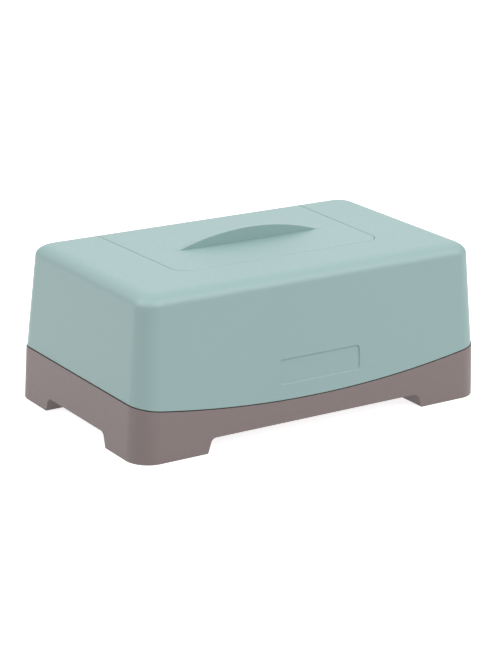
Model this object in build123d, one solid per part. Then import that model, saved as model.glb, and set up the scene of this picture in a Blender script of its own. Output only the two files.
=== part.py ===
from build123d import *
import math
import os

# Baby wipes box: a base tray on four corner feet, a cover that lifts off, and a
# hinged lid with a raised finger lip. Millimetres, +Z up, front long side faces -Y,
# origin on the ground under the middle of the box.

# Outer body: the tray's walls and, set in from them by a small step, the cover's
length = 230.0
width = 137.8
height = 90.8
corner_r = 13.8
top_corner_r = 11.0
tray_draft = 2.1
cover_draft = 4.5
ledge_width = 0.5

# Crown: the elliptical rounding between the cover's walls and its flat top
crown_reach = 11.0
crown_drop = 6.8
crown_steps = 8
crown_corner_r = 4.0

# Walls and clearances
wall = 2.2
lid_wall = 2.4
floor_wall = 2.4
rim_wall = 1.8
slip_gap = 0.3
seam_gap = 0.45
front_gap = 0.15
margin = 10.0

# Parting line between tray and cover: an arc that dips in the middle of the long sides
parting_mid = 20.8
parting_end = 31.3
reveal = 0.6
rim_height = 5.0

# Gasket in a groove along the tray's ledge
gasket_inset = 0.9
gasket_width = 1.2
gasket_sunk = 0.8
gasket_proud = 0.3

# Feet: what is left at the corners between two crossing channels
channel_top = 8.6
channel_half_x = 72.0
channel_half_y = 33.5
foot_slope = 18.0
channel_r = 3.5

# Anti-slip pads under the feet
pad_proud = 0.4
pad_sunk = 2.6
pad_rim = 3.0
pad_side_gap = 0.15
pad_r = 6.0
core_rim = 6.0
core_top = 1.0

# Front plaque, bare
plaque_x = 1.4
plaque_z = 37.2
plaque_length = 54.0
plaque_height = 14.4
plaque_depth = 0.7
plaque_slope = 35.0
plaque_r = 2.0

# Lid, which widens a little towards the back, and the sunk deck under it
lid_half = 67.0
lid_front = -30.5
lid_flare = 1.5
lid_corner_r = 9.5
deck_gap = 0.9
hinge_z = 78.0
barrel_r = 3.2
barrel_gap = 0.6
hinge_drop = 4.7

# Hinge pins
pin_r = 1.0
pin_hold = 8.0
pin_reach = 7.0
pin_fit = 0.02
pin_run = 0.06
ear_r = 5.0

# Dispensing opening and the seal round it
mouth_x = 112.0
mouth_y = 62.0
mouth_r = 14.0
mouth_centre_y = 9.0
seal_margin = 2.0
seal_width = 2.5
seal_sunk = 0.8
seal_gap = 0.2

# Finger lip: an arched face that leans forward, a hood behind it, a shallow scoop in front
lip_x = 1.5
lip_y = 6.0
lip_lean = 6.0
lip_height = 7.6
lip_r = 143.0
hood_length = 24.0
hood_steps = 8
hood_end = 0.97
hood_root = 1.0
scoop_r = 57.2
scoop_front = -29.0
scoop_depth = 0.7


tray_slope = math.tan(math.radians(tray_draft))
cover_slope = math.tan(math.radians(cover_draft))
cover_grow = parting_end * (cover_slope - tray_slope) - ledge_width
corner_slope = (corner_r - top_corner_r) / height


def plan_at(grow, z, corner):
    """The outer plan at the ground grown by this much, at height z."""
    return Pos(0, 0, z) * RectangleRounded(length + 2 * grow, width + 2 * grow, corner)


def drafted(grow, top, slope, inset):
    """A body that narrows upwards, with corners drawn in by inset."""
    low = plan_at(grow, 0, corner_r - inset)
    high = plan_at(grow - top * slope, top, corner_r - inset - top * corner_slope)
    return loft([low, high], ruled=True)


def hull(inset=0.0, crowned=True):
    """The cover's outer body, inset on the sides and the top."""
    grow = cover_grow - inset
    drawn = ledge_width + inset
    top = height - inset
    if not crowned:
        return drafted(grow, top, cover_slope, drawn)
    reach = crown_reach - inset
    drop = crown_drop - inset
    start = math.atan(cover_slope * drop / reach)
    low = top - drop * (1 - math.sin(start))
    corner = corner_r - drawn - low * corner_slope
    sections = []
    for step in range(crown_steps + 1):
        angle = start + (math.pi / 2 - start) * step / crown_steps
        turn = reach * (math.cos(start) - math.cos(angle))
        shrink = (corner - crown_corner_r) * turn / (reach * math.cos(start))
        z = top - drop * (1 - math.sin(angle))
        sections.append(plan_at(grow - low * cover_slope - turn, z, corner - shrink))
    return drafted(grow, low, cover_slope, drawn) + loft(sections)


def wall_y(z, inset=0.0):
    """Half the width over the cover's walls at height z."""
    return width / 2 + cover_grow - inset - z * cover_slope


def parting_z(x, offset=0.0):
    """Height of the parting arc at x."""
    rise = parting_end - parting_mid
    half = length / 2
    r = (half**2 + rise**2) / (2 * rise)
    return parting_mid + offset + r - math.sqrt(r**2 - x**2)


def below_parting(offset=0.0):
    """Everything under the parting arc, shifted up by offset."""
    x = length / 2 + margin
    ends = parting_z(x, offset)
    sides = Polyline((x, ends), (x, -margin), (-x, -margin), (-x, ends))
    arc = ThreePointArc((-x, ends), (0, parting_z(0, offset)), (x, ends))
    profile = make_face(Plane.XZ * (sides + arc))
    return extrude(profile, amount=width / 2 + margin, both=True)


def box_between(low, high):
    """A box from its lowest to its highest corner."""
    size = [b - a for a, b in zip(low, high)]
    return Pos(*low) * Box(*size, align=(Align.MIN, Align.MIN, Align.MIN))


def rod(x0, x1, radius):
    """A round bar along X on the hinge axis."""
    bar = Cylinder(radius, x1 - x0, align=(Align.CENTER, Align.CENTER, Align.MIN))
    return Pos(x0, hinge_y, hinge_z) * Rot(0, 90, 0) * bar


hinge_y = wall_y(hinge_z) - barrel_r
rear = width / 2 + margin
flare = math.tan(math.radians(lid_flare))
hinge_half = lid_half + (hinge_y - lid_front) * flare
lean = math.tan(math.radians(lip_lean))
lip_top_y = lip_y - lip_height * lean
roof = height + lip_height + margin
deck_inset = lid_wall + deck_gap
deck_top = height - deck_inset
lid_under = height - lid_wall


def channel(half, plane, reach):
    """A drafted channel under the tray, with its upper corners rounded."""
    top_half = half - channel_top * math.tan(math.radians(foot_slope))
    foot_half = half + margin * math.tan(math.radians(foot_slope))
    outline = Polygon(
        (-foot_half, -margin),
        (foot_half, -margin),
        (top_half, channel_top),
        (-top_half, channel_top),
        align=None,
    )
    rounded = fillet(outline.vertices().group_by(Axis.Y)[-1], channel_r)
    return extrude(plane * rounded, amount=reach, both=True)


def foot_plan(side_x, side_y, rim):
    """Outline of one foot's underside, drawn in by rim on every side."""
    x0 = channel_half_x + rim
    y0 = channel_half_y + rim
    size_x = length / 2 - rim - x0
    size_y = width / 2 - rim - y0
    centre = (side_x * (x0 + size_x / 2), side_y * (y0 + size_y / 2))
    return Pos(*centre) * RectangleRounded(size_x, size_y, pad_r)


def make_pad(side_x, side_y):
    """An anti-slip pad that plugs the underside of one foot."""
    plan = foot_plan(side_x, side_y, pad_rim + pad_side_gap)
    return extrude(plan, amount=pad_proud + pad_sunk)


def foot_hollow(side_x, side_y):
    """The pocket for a pad and the core above it."""
    pocket = extrude(foot_plan(side_x, side_y, pad_rim), amount=pad_proud + pad_sunk)
    core = extrude(foot_plan(side_x, side_y, core_rim), amount=channel_top - core_top)
    return pocket + core


def gasket_ring(low, high):
    """The band of the ledge that holds the gasket, between two heights off the arc."""
    ring = hull(gasket_inset, False) - hull(gasket_inset + gasket_width, False)
    return ring & below_parting(high) - below_parting(low)


corners = {
    "front_left": (-1, -1),
    "front_right": (1, -1),
    "back_left": (-1, 1),
    "back_right": (1, 1),
}


def make_base():
    """Tray with its rim, ledge, feet and hollows."""
    rim_inset = wall + slip_gap
    cavity = hull(rim_inset + rim_wall, False)
    cavity -= box_between((-length, -width, -margin), (length, width, channel_top + floor_wall))
    tray = drafted(0, height, tray_slope, 0) & below_parting()
    tray += hull(rim_inset, False) & below_parting(rim_height)
    tray -= cavity
    tray -= channel(channel_half_x, Plane.XZ, width)
    tray -= channel(channel_half_y, Plane.YZ, length)
    tray -= box_between((-length, -width, -margin), (length, width, pad_proud))
    tray -= gasket_ring(-gasket_sunk, margin)
    for sides in corners.values():
        tray -= foot_hollow(*sides)
    return tray


def lid_zone(grow_side, grow_front, low):
    """The part of the body that the lid takes up, grown by a gap, above height low."""
    y = lid_front - grow_front
    x = lid_half + grow_side - grow_front * flare
    x_rear = x + (rear - y) * flare
    plan = Polygon((-x, y), (x, y), (x_rear, rear), (-x_rear, rear), align=None)
    plan = fillet(plan.vertices().group_by(Axis.Y)[0], lid_corner_r + grow_front)
    return Pos(0, 0, low) * extrude(plan, amount=roof - low)


def mouth(grow, low, high):
    """A rounded rectangle round the dispensing opening, between two heights."""
    plan = RectangleRounded(mouth_x + 2 * grow, mouth_y + 2 * grow, mouth_r + grow)
    return Pos(0, mouth_centre_y, low) * extrude(plan, amount=high - low)


def make_plaque():
    """The sunk bare panel on the front wall, with sloping sides, as the solid to cut."""
    widen = plaque_depth * math.tan(math.radians(plaque_slope))
    floor = RectangleRounded(plaque_length - 2 * widen, plaque_height - 2 * widen, plaque_r)
    place = Pos(plaque_x, -wall_y(plaque_z, plaque_depth), plaque_z) * Rot(90 - cover_draft, 0, 0)
    return extrude(place * floor, amount=2 * plaque_depth, taper=-plaque_slope)


def make_cover():
    """Cover shell with the sunk deck, hinge gutter, hinge ears and bare plaque."""
    gutter_r = barrel_r + barrel_gap
    open_half = hinge_half + seam_gap
    cut_z = hinge_z - hinge_drop
    outside = hull()
    shell = outside - hull(wall)
    frame = lid_zone(seam_gap + wall, front_gap + wall, cut_z - wall)
    shell += (outside - hull(deck_inset + wall)) & frame
    shell += outside & rod(-open_half - wall, open_half + wall, gutter_r + wall)
    for side in (-1, 1):
        ends = sorted((side * open_half, side * (open_half + pin_hold + wall)))
        shell += outside & rod(*ends, ear_r)
    pocket = lid_zone(seam_gap, front_gap, cut_z)
    shell -= pocket - hull(deck_inset)
    shell -= rod(-open_half, open_half, gutter_r)
    reach = open_half + pin_hold
    shell -= rod(-reach, reach, pin_r + pin_fit)
    shell -= mouth(0, deck_top - 2 * wall, deck_top + margin)
    shell -= below_parting(reveal)
    return shell - make_plaque()


def hood(start, drop):
    """The swelling behind the finger lip, lofted through arcs that shrink to the rear."""
    sections = []
    for step in range(hood_steps + 1):
        t = start + (hood_end - start) * step / hood_steps
        rise = lip_height * (1 + math.cos(math.pi * t)) / 2
        half = math.sqrt(2 * lip_r * rise - rise**2)
        top = height - drop
        root = top - hood_root
        sides = Polyline((half, top), (half, root), (-half, root), (-half, top))
        crown = ThreePointArc((-half, top), (0, top + rise), (half, top))
        place = (lip_x, lip_top_y + hood_length * t, 0)
        plane = Plane(origin=place, x_dir=(1, 0, 0), z_dir=(0, -1, 0))
        sections.append(make_face(plane * (sides + crown)))
    return loft(sections)


def scoop():
    """The shallow round dish in front of the lip, as the solid to cut."""
    low = height - scoop_depth
    dish = TangentArc((0, low), (scoop_r, height), tangent=(1, 0))
    sides = Polyline((scoop_r, height), (scoop_r, roof), (0, roof), (0, low))
    disc = revolve(make_face(Plane.XZ * (dish + sides)), Axis.Z)
    return Pos(lip_x, scoop_front + scoop_r, 0) * disc & before_lip()


def before_lip():
    """Everything in front of the leaning face, above the lid's underside."""
    low_y = lip_y + lid_wall * lean
    high_y = lip_y - (roof - height) * lean
    side = Polygon((-width, lid_under), (low_y, lid_under), (high_y, roof), (-width, roof), align=None)
    return extrude(Plane.YZ * side, amount=length, both=True)


def make_lid():
    """Lid panel that wraps over the back edge to its hinge barrel, with the lip."""
    panel = (hull() - hull(lid_wall)) & lid_zone(0, 0, hinge_z)
    panel += rod(-hinge_half, hinge_half, barrel_r)
    panel -= scoop()
    panel += hood(0, 0) - before_lip()
    panel -= hood((lip_y + lid_wall - lip_top_y) / hood_length, lid_wall)
    panel -= seal_ring(lid_under - margin, lid_under + seal_sunk)
    for side in (-1, 1):
        ends = sorted((side * (hinge_half - pin_reach - slip_gap), side * (hinge_half + margin)))
        panel -= rod(*ends, pin_r + pin_run)
    return panel


def seal_ring(low, high):
    """A band round the dispensing opening, between two heights."""
    inner = seal_margin
    return mouth(inner + seal_width, low, high) - mouth(inner, low, high)


def make_pin(side):
    """A hinge pin, held in the cover's ear and turning in the lid's barrel."""
    tip = hinge_half - pin_reach
    root = hinge_half + seam_gap + pin_hold
    return rod(*sorted((side * tip, side * root)), pin_r)


parts = {
    "base_tray": make_base(),
    "base_gasket": gasket_ring(-gasket_sunk, gasket_proud),
    "cover_shell": make_cover(),
    "lid": make_lid(),
    "lid_seal": seal_ring(deck_top + seal_gap, lid_under + seal_sunk),
    "hinge_pin_left": make_pin(-1),
    "hinge_pin_right": make_pin(1),
}
for name, sides in corners.items():
    parts["foot_pad_" + name] = make_pad(*sides)

os.makedirs("parts", exist_ok=True)
for name, solid in parts.items():
    export_step(solid, f"parts/{name}.step")
    print(name, round(solid.volume), "mm3")
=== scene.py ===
import math

import bpy
from mathutils import Matrix, Vector

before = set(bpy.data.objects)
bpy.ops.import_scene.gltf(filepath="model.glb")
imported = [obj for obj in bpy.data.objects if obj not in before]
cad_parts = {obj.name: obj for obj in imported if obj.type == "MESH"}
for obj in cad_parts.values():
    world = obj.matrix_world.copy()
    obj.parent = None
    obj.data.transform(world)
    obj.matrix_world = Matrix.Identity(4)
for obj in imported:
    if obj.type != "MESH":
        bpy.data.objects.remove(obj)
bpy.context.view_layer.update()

# Camera, in metres and degrees
AZIMUTH = -33.73
ELEVATION = 18.174
ROLL = 1.158
DISTANCE = 1.2334
TARGET = Vector((-0.00139, 0.00093, 0.03742))
LENS = 117.0
SENSOR = 36.0

# Colours, linear
MINT = (0.288, 0.423, 0.416)
TAUPE = (0.197, 0.152, 0.149)
RUBBER = (0.045, 0.042, 0.042)
GASKET = (0.12, 0.11, 0.108)
SILICONE = (0.62, 0.62, 0.6)
STEEL = (0.56, 0.57, 0.58)
FLOOR = (0.8, 0.8, 0.8)
WHITE = (1.0, 1.0, 1.0)

# Floor and surroundings
FLOOR_SIZE = 12.0
FLOOR_ROUGHNESS = 0.9
FLOOR_GLOW = 0.8
WORLD = 0.465

# Lights: azimuth and elevation in degrees, distance and size in metres, power in watts
LIGHTS = {
    "key_right": (26.0, 46.0, 2.4, 2.0, 43.0),
    "key_left": (-110.0, 46.0, 2.4, 2.0, 31.5),
    "back": (146.0, 26.0, 1.7, 1.4, 4.2),
}
LIGHT_TARGET = Vector((0.0, 0.0, 0.05))

# The middle part of a noise texture's values, where most of them lie
NOISE_LOW = 0.3
NOISE_HIGH = 0.7

# Moulded plastic: texture scales per metre, and how far each one moves colour, gloss and bump
CLOUD_SCALE = 14.0
CLOUD_CONTRAST = 0.015
CLOUD_LOW = 0.25
CLOUD_HIGH = 0.75
MOTTLE_SCALE = 420.0
SPECK_LOW = 0.62
SPECK_HIGH = 0.7
SPECK_SHARE = 0.1
SPECK_LIGHT = 1.12
MINT_GRAIN = 2200.0
TAUPE_GRAIN = 2000.0
MINT_GLOSS = 0.47
TAUPE_GLOSS = 0.5
GLOSS_SPREAD = 0.05
SPECULAR = 0.6
FIBRE_SHARE = 0.35
FIBRE_BUMP = 0.05
GRAIN_BUMP = 0.08
BUMP_DISTANCE = 0.0003

# Shade painted into the colour in seams: how near faces have to be, how open a spot is, and how
# dark the painted shade is
CREVICE_REACH = 0.0014
CREVICE_SAMPLES = 8
CREVICE_SHUT = 0.1
CREVICE_OPEN = 0.5
PAINTED_SEAM_SHADE = 0.2

# Rubber and silicone
DUST_SCALE = 160.0
DUST_LOW = 0.35
DUST_HIGH = 0.7
DUST_DARK = 0.9
DUST_LIGHT = 1.25
DUST_GLOSS = 0.12
RUBBER_GRAIN = 2600.0
RUBBER_BUMP = 0.12
PAD_GLOSS = 0.75
GASKET_GLOSS = 0.6
SEAL_GLOSS = 0.55

# Drawn steel, with its lines stretched along X
LINE_STRETCH = (0.03, 1.0, 1.0)
LINE_SCALE = 3000.0
LINE_DARK = 0.9
LINE_LIGHT = 1.1
LINE_BUMP = 0.1
LINE_DISTANCE = 0.0002
STEEL_SMOOTH = 0.25
STEEL_ROUGH = 0.42

# Edge radii of the nodes, in metres
PADS = ["foot_pad_" + corner for corner in ("front_left", "front_right", "back_left", "back_right")]
PAD_EDGE = 0.0003
EDGES = {
    "base_tray": 0.0004,
    "cover_shell": 0.0004,
    "lid": 0.0005,
    **dict.fromkeys(PADS, PAD_EDGE),
}
EDGE_SEGMENTS = 2
EDGE_ANGLE = 32.0
WELD_DISTANCE = 0.00001
FLAT_WEIGHT = 60


def new_material(name):
    """A node material with its shader and output, and nothing else."""
    material = bpy.data.materials.new(name)
    material.use_nodes = True
    nodes = material.node_tree.nodes
    shader = nodes["Principled BSDF"]
    return material, nodes, material.node_tree.links, shader


def noise(nodes, links, coords, scale, detail, roughness):
    """A noise texture in the object's own coordinates."""
    node = nodes.new("ShaderNodeTexNoise")
    node.inputs["Scale"].default_value = scale
    node.inputs["Detail"].default_value = detail
    node.inputs["Roughness"].default_value = roughness
    links.new(coords.outputs["Object"], node.inputs["Vector"])
    return node.outputs["Fac"]


def remap(nodes, links, source, low, high, to_low, to_high):
    """A source value taken from one range to another."""
    node = nodes.new("ShaderNodeMapRange")
    node.inputs["From Min"].default_value = low
    node.inputs["From Max"].default_value = high
    node.inputs["To Min"].default_value = to_low
    node.inputs["To Max"].default_value = to_high
    links.new(source, node.inputs["Value"])
    return node.outputs["Result"]


def shade(colour, factor):
    """A colour made darker or lighter by a factor."""
    return tuple(min(1.0, channel * factor) for channel in colour)


def tint(nodes, links, factor, dark, light):
    """A colour between two shades."""
    node = nodes.new("ShaderNodeMix")
    node.data_type = "RGBA"
    node.inputs["A"].default_value = (*dark, 1)
    node.inputs["B"].default_value = (*light, 1)
    links.new(factor, node.inputs["Factor"])
    return node.outputs["Result"]


def overlay(nodes, links, factor, base, colour):
    """A base colour with another laid over it by a factor."""
    node = nodes.new("ShaderNodeMix")
    node.data_type = "RGBA"
    node.inputs["B"].default_value = (*colour, 1)
    links.new(base, node.inputs["A"])
    links.new(factor, node.inputs["Factor"])
    return node.outputs["Result"]


def bump(nodes, links, shader, heights, distance):
    """Stacks bump nodes, the coarsest first."""
    last = None
    for height, strength in heights:
        node = nodes.new("ShaderNodeBump")
        node.inputs["Strength"].default_value = strength
        node.inputs["Distance"].default_value = distance
        links.new(height, node.inputs["Height"])
        if last:
            links.new(last.outputs["Normal"], node.inputs["Normal"])
        last = node
    links.new(last.outputs["Normal"], shader.inputs["Normal"])


def paint_seam_shade(nodes, links, base, colour):
    """The base colour with painted shade, darker where faces come close, as in seams."""
    near = nodes.new("ShaderNodeAmbientOcclusion")
    near.samples = CREVICE_SAMPLES
    near.inputs["Distance"].default_value = CREVICE_REACH
    factor = remap(nodes, links, near.outputs["AO"], CREVICE_SHUT, CREVICE_OPEN, 1.0, 0.0)
    return overlay(nodes, links, factor, base, shade(colour, PAINTED_SEAM_SHADE))


def plastic_colour(nodes, links, coords, mottle, colour):
    """Faint flow clouds, a few light specks, and painted shade in the seams."""
    clouds = noise(nodes, links, coords, CLOUD_SCALE, detail=2.0, roughness=0.4)
    factor = remap(nodes, links, clouds, NOISE_LOW, NOISE_HIGH, CLOUD_LOW, CLOUD_HIGH)
    dark = shade(colour, 1 - CLOUD_CONTRAST)
    light = shade(colour, 1 + CLOUD_CONTRAST)
    base = tint(nodes, links, factor, dark, light)
    speck = remap(nodes, links, mottle, SPECK_LOW, SPECK_HIGH, 0.0, SPECK_SHARE)
    specked = overlay(nodes, links, speck, base, shade(colour, SPECK_LIGHT))
    # Painted shade: the colour is darkened in seams and close corners
    return paint_seam_shade(nodes, links, specked, colour)


def moulded_plastic(name, colour, grain, gloss):
    """Satin moulded plastic with a fine spark-eroded grain."""
    material, nodes, links, shader = new_material(name)
    coords = nodes.new("ShaderNodeTexCoord")
    mottle = noise(nodes, links, coords, MOTTLE_SCALE, detail=4.0, roughness=0.6)
    fine = noise(nodes, links, coords, grain, detail=2.0, roughness=0.65)
    fibre = noise(nodes, links, coords, grain * FIBRE_SHARE, detail=2.0, roughness=0.5)
    base = plastic_colour(nodes, links, coords, mottle, colour)
    links.new(base, shader.inputs["Base Color"])
    smooth = gloss - GLOSS_SPREAD
    rough = remap(nodes, links, mottle, NOISE_LOW, NOISE_HIGH, smooth, gloss + GLOSS_SPREAD)
    links.new(rough, shader.inputs["Roughness"])
    shader.inputs["Specular IOR Level"].default_value = SPECULAR
    bump(nodes, links, shader, ((fibre, FIBRE_BUMP), (fine, GRAIN_BUMP)), BUMP_DISTANCE)
    return material


def soft_rubber(name, colour, gloss):
    """Rubber or silicone with a dusty, slightly uneven surface."""
    material, nodes, links, shader = new_material(name)
    coords = nodes.new("ShaderNodeTexCoord")
    dust = noise(nodes, links, coords, DUST_SCALE, detail=5.0, roughness=0.65)
    fine = noise(nodes, links, coords, RUBBER_GRAIN, detail=2.0, roughness=0.5)
    factor = remap(nodes, links, dust, DUST_LOW, DUST_HIGH, 0.0, 1.0)
    base = tint(nodes, links, factor, shade(colour, DUST_DARK), shade(colour, DUST_LIGHT))
    links.new(base, shader.inputs["Base Color"])
    rough = remap(nodes, links, dust, NOISE_LOW, NOISE_HIGH, gloss, gloss + DUST_GLOSS)
    links.new(rough, shader.inputs["Roughness"])
    bump(nodes, links, shader, ((fine, RUBBER_BUMP),), BUMP_DISTANCE)
    return material


def drawn_steel(name, colour):
    """Steel wire with fine lines along X."""
    material, nodes, links, shader = new_material(name)
    coords = nodes.new("ShaderNodeTexCoord")
    stretch = nodes.new("ShaderNodeMapping")
    stretch.inputs["Scale"].default_value = LINE_STRETCH
    links.new(coords.outputs["Object"], stretch.inputs["Vector"])
    texture = nodes.new("ShaderNodeTexNoise")
    texture.inputs["Scale"].default_value = LINE_SCALE
    links.new(stretch.outputs["Vector"], texture.inputs["Vector"])
    lines = texture.outputs["Fac"]
    rough = remap(nodes, links, lines, NOISE_LOW, NOISE_HIGH, STEEL_SMOOTH, STEEL_ROUGH)
    links.new(rough, shader.inputs["Roughness"])
    base = tint(nodes, links, lines, shade(colour, LINE_DARK), shade(colour, LINE_LIGHT))
    links.new(base, shader.inputs["Base Color"])
    shader.inputs["Metallic"].default_value = 1.0
    bump(nodes, links, shader, ((lines, LINE_BUMP),), LINE_DISTANCE)
    return material


def dress(materials):
    """Gives every carried-over node its own finish."""
    for node, material in materials.items():
        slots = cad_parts[node].data.materials
        slots.clear()
        slots.append(material)


def round_edges(node, width):
    """A small moulded radius along a node's sharp edges, with its flat faces kept flat."""
    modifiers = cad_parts[node].modifiers
    weld = modifiers.new("weld", "WELD")
    weld.merge_threshold = WELD_DISTANCE
    bevel = modifiers.new("edge_radius", "BEVEL")
    bevel.width = width
    bevel.segments = EDGE_SEGMENTS
    bevel.limit_method = "ANGLE"
    bevel.angle_limit = math.radians(EDGE_ANGLE)
    even = modifiers.new("even_shading", "WEIGHTED_NORMAL")
    even.weight = FLAT_WEIGHT
    even.keep_sharp = False


def direction(azimuth, elevation):
    """The way out from the object. Azimuth 0 is its front, and 90 its right side."""
    turn = math.radians(azimuth)
    tilt = math.radians(elevation)
    flat = math.cos(tilt)
    return Vector((math.sin(turn) * flat, -math.cos(turn) * flat, math.sin(tilt)))


def make_camera():
    """The photograph's camera, from the fitted angles."""
    azimuth = math.radians(AZIMUTH)
    back = direction(AZIMUTH, ELEVATION)
    right = Vector((math.cos(azimuth), math.sin(azimuth), 0.0))
    up = back.cross(right)
    level = Matrix((right, up, back)).transposed()
    turn = level @ Matrix.Rotation(math.radians(ROLL), 3, "Z")
    data = bpy.data.cameras.new("camera")
    data.lens = LENS
    data.sensor_width = SENSOR
    camera = bpy.data.objects.new("camera", data)
    camera.matrix_world = Matrix.Translation(TARGET + back * DISTANCE) @ turn.to_4x4()
    bpy.context.collection.objects.link(camera)
    bpy.context.scene.camera = camera


def area_light(name, azimuth, elevation, distance, size, power):
    """A soft square light that looks at the object."""
    way = direction(azimuth, elevation)
    data = bpy.data.lights.new(name, "AREA")
    data.size = size
    data.energy = power
    light = bpy.data.objects.new(name, data)
    light.location = LIGHT_TARGET + way * distance
    light.rotation_mode = "QUATERNION"
    light.rotation_quaternion = (-way).to_track_quat("-Z", "Y")
    light.visible_camera = False
    bpy.context.collection.objects.link(light)


def make_world():
    """Even white surroundings."""
    world = bpy.data.worlds.new("studio")
    world.use_nodes = True
    sky = world.node_tree.nodes["Background"]
    sky.inputs["Color"].default_value = (*WHITE, 1)
    sky.inputs["Strength"].default_value = WORLD
    bpy.context.scene.world = world


def make_floor():
    """A plain pale floor that reaches past the view on all sides."""
    bpy.ops.mesh.primitive_plane_add(size=FLOOR_SIZE, location=(0.0, 0.0, 0.0))
    floor = bpy.context.object
    floor.name = "floor"
    material, nodes, links, shader = new_material("floor")
    shader.inputs["Base Color"].default_value = (*FLOOR, 1)
    shader.inputs["Roughness"].default_value = FLOOR_ROUGHNESS
    shader.inputs["Emission Color"].default_value = (*WHITE, 1)
    shader.inputs["Emission Strength"].default_value = FLOOR_GLOW
    floor.data.materials.append(material)
    floor.visible_diffuse = False


mint = moulded_plastic("mint_plastic", MINT, MINT_GRAIN, MINT_GLOSS)
taupe = moulded_plastic("taupe_plastic", TAUPE, TAUPE_GRAIN, TAUPE_GLOSS)
rubber = soft_rubber("pad_rubber", RUBBER, PAD_GLOSS)
gasket = soft_rubber("gasket_silicone", GASKET, GASKET_GLOSS)
silicone = soft_rubber("seal_silicone", SILICONE, SEAL_GLOSS)
steel = drawn_steel("pin_steel", STEEL)

dress({
    "base_tray": taupe,
    "base_gasket": gasket,
    "cover_shell": mint,
    "lid": mint,
    "lid_seal": silicone,
    "hinge_pin_left": steel,
    "hinge_pin_right": steel,
    **dict.fromkeys(PADS, rubber),
})
for node, width in EDGES.items():
    round_edges(node, width)

make_camera()
make_world()
make_floor()
for name, setup in LIGHTS.items():
    area_light(name, *setup)

bpy.context.scene.view_settings.view_transform = "Standard"
